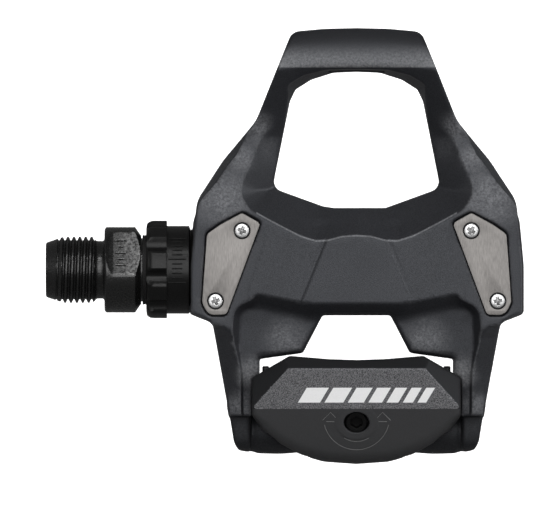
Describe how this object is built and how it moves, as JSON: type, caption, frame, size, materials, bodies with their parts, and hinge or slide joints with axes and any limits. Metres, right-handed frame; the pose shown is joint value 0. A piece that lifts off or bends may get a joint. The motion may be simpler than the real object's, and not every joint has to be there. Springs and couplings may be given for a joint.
{
  "type": "clipless pedal",
  "caption": "Road clipless pedal for a right-hand crank, with a sprung rear claw, steel wear plates and a threaded steel spindle.",
  "frame": {"origin": "centre of the spindle's crank-end face", "axes": "+X along the spindle, from the crank outwards; +Y to the toe; +Z to the cleat side"},
  "size_m": [0.1024, 0.0936, 0.0279],
  "materials": {
    "grey_resin": "fine spark-eroded, satin",
    "claw_resin": "satin, with one coarse textured facet",
    "black_resin": "satin",
    "black_steel": "black oxide, semi-gloss",
    "bearing_steel": "ground and polished",
    "screw_steel": "bright zinc",
    "brushed_steel": "fine brushed",
    "spring_steel": "drawn wire",
    "rubber": "matt",
    "bush_resin": "moulded"
  },
  "bodies": {
    "spindle": {"spindle": "black_steel", "inner_cone": "bearing_steel", "adjusting_cone": "bearing_steel", "lock_washer": "bearing_steel", "lock_nut": "bearing_steel"},
    "pedal_body": {"body_frame": "grey_resin", "crank_side_plate": "brushed_steel", "outer_side_plate": "brushed_steel", "plate_screw_1": "screw_steel", "plate_screw_2": "screw_steel", "plate_screw_3": "screw_steel", "plate_screw_4": "screw_steel", "lock_bolt": "black_resin", "lip_seal": "rubber", "plain_bush": "bush_resin", "bearing_tube": "bearing_steel", "binding_pin": "bearing_steel", "left_torsion_spring": "spring_steel", "right_torsion_spring": "spring_steel"},
    "inner_ball_row": {"inner_ball_01": "bearing_steel", "inner_ball_02": "bearing_steel", "inner_ball_03": "bearing_steel", "inner_ball_04": "bearing_steel", "inner_ball_05": "bearing_steel", "inner_ball_06": "bearing_steel", "inner_ball_07": "bearing_steel", "inner_ball_08": "bearing_steel", "inner_ball_09": "bearing_steel", "inner_ball_10": "bearing_steel", "inner_ball_11": "bearing_steel", "inner_ball_12": "bearing_steel"},
    "outer_ball_row": {"outer_ball_01": "bearing_steel", "outer_ball_02": "bearing_steel", "outer_ball_03": "bearing_steel", "outer_ball_04": "bearing_steel", "outer_ball_05": "bearing_steel", "outer_ball_06": "bearing_steel", "outer_ball_07": "bearing_steel", "outer_ball_08": "bearing_steel", "outer_ball_09": "bearing_steel", "outer_ball_10": "bearing_steel", "outer_ball_11": "bearing_steel", "outer_ball_12": "bearing_steel"},
    "rear_binding": {"binding_claw": "claw_resin"},
    "tension_bolt_body": {"tension_bolt": "black_steel"},
    "nut_plate_body": {"nut_plate": "bearing_steel"}
  },
  "joints": [
    {"name": "pedal_spin", "type": "hinge", "parent": "spindle", "child": "pedal_body", "pos_m": [0, 0, 0], "axis": [1, 0, 0], "continuous": true},
    {"name": "inner_balls_roll", "type": "hinge", "parent": "spindle", "child": "inner_ball_row", "pos_m": [0.0801, 0, 0], "axis": [1, 0, 0], "continuous": true},
    {"name": "outer_balls_roll", "type": "hinge", "parent": "spindle", "child": "outer_ball_row", "pos_m": [0.0899, 0, 0], "axis": [1, 0, 0], "continuous": true},
    {"name": "claw_pivot", "type": "hinge", "parent": "pedal_body", "child": "rear_binding", "pos_m": [0.0668, -0.0349, -0.008], "axis": [1, 0, 0], "range_deg": [0, 15], "stiffness_Nm_per_rad": 1.5, "springref_deg": -34.38, "deforming": ["left_torsion_spring", "right_torsion_spring"]},
    {"name": "tension_bolt_turn", "type": "hinge", "parent": "rear_binding", "child": "tension_bolt_body", "pos_m": [0.0668, -0.029, -0.00585], "axis": [0, 0.342, -0.9397], "range_deg": [-540, 720]},
    {"name": "nut_plate_travel", "type": "slide", "parent": "rear_binding", "child": "nut_plate_body", "axis": [0, -0.342, 0.9397], "range_m": [-0.00105, 0.0014], "deforming": ["left_torsion_spring", "right_torsion_spring"]}
  ],
  "couplings": [
    {"joint": "inner_balls_roll", "follows": "pedal_spin", "ratio": 0.58},
    {"joint": "outer_balls_roll", "follows": "pedal_spin", "ratio": 0.58},
    {"joint": "tension_bolt_turn", "follows": "nut_plate_travel", "rad_per_m": 8976}
  ]
}
